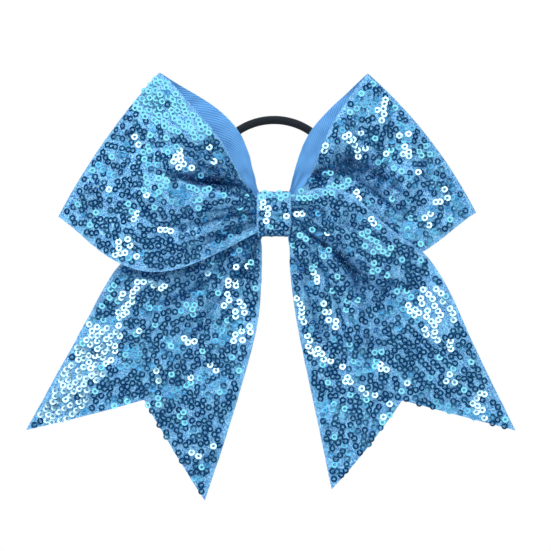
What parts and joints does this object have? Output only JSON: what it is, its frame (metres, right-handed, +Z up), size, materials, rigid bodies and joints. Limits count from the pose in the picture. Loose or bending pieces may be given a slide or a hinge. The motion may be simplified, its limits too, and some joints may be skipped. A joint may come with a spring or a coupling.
{
  "type": "cheer hair bow",
  "caption": "Wide-ribbon cheer hair bow with sequinned loops and V-cut tails gathered under a wrapped knot, held on an elastic hair tie.",
  "frame": {"origin": "the middle of the knot's back face, which sits against the ponytail", "axes": "+Z up as the bow is worn, +X to the right as seen from its front, +Y back into the hair"},
  "size_m": [0.1929, 0.0277, 0.1696],
  "materials": {
    "sequin_fabric": "ring sequins of metallic film sewn on blue mesh",
    "grosgrain": "ribbed polyester ribbon",
    "nylon": "moulded, translucent white",
    "set_glue": "set hot glue",
    "rubber_core": "extruded latex strands",
    "braid": "braided polyester yarn",
    "join_sleeve": "thin heat-set film"
  },
  "bodies": {
    "bow": {"back_gather": "grosgrain", "cable_tie": "nylon", "knot_glue": "set_glue", "knot_wrap_grosgrain": "grosgrain", "knot_wrap_sequin_fabric": "sequin_fabric", "left_loop_back_grosgrain": "grosgrain", "left_loop_back_sequin_fabric": "sequin_fabric", "left_loop_front_grosgrain": "grosgrain", "left_loop_front_sequin_fabric": "sequin_fabric", "left_tail_head_grosgrain": "grosgrain", "left_tail_head_sequin_fabric": "sequin_fabric", "over_gather": "grosgrain", "right_loop_back_grosgrain": "grosgrain", "right_loop_back_sequin_fabric": "sequin_fabric", "right_loop_front_grosgrain": "grosgrain", "right_loop_front_sequin_fabric": "sequin_fabric", "right_tail_head_grosgrain": "grosgrain", "right_tail_head_sequin_fabric": "sequin_fabric", "under_gather": "grosgrain"},
    "left_tail": {"left_tail_grosgrain": "grosgrain", "left_tail_sequin_fabric": "sequin_fabric"},
    "right_tail": {"right_tail_grosgrain": "grosgrain", "right_tail_sequin_fabric": "sequin_fabric"},
    "hair_tie": {"hair_tie_rubber": "rubber_core", "hair_tie_braid": "braid", "hair_tie_join": "join_sleeve"}
  },
  "joints": [
    {"name": "left_tail_bend", "type": "hinge", "parent": "bow", "child": "left_tail", "pos_m": [-0.0365, -0.012, -0.03775], "axis": [-0.9117, 0, 0.4108], "range_deg": [-70, 70], "stiffness_Nm_per_rad": 0.004},
    {"name": "right_tail_bend", "type": "hinge", "parent": "bow", "child": "right_tail", "pos_m": [0.03695, -0.015, -0.0355], "axis": [-0.9135, 0, -0.4068], "range_deg": [-70, 70], "stiffness_Nm_per_rad": 0.004},
    {"name": "hair_tie_swing", "type": "hinge", "parent": "bow", "child": "hair_tie", "pos_m": [0, -0.00302, 0.0035], "axis": [-1, 0, 0], "range_deg": [0, 150]}
  ]
}
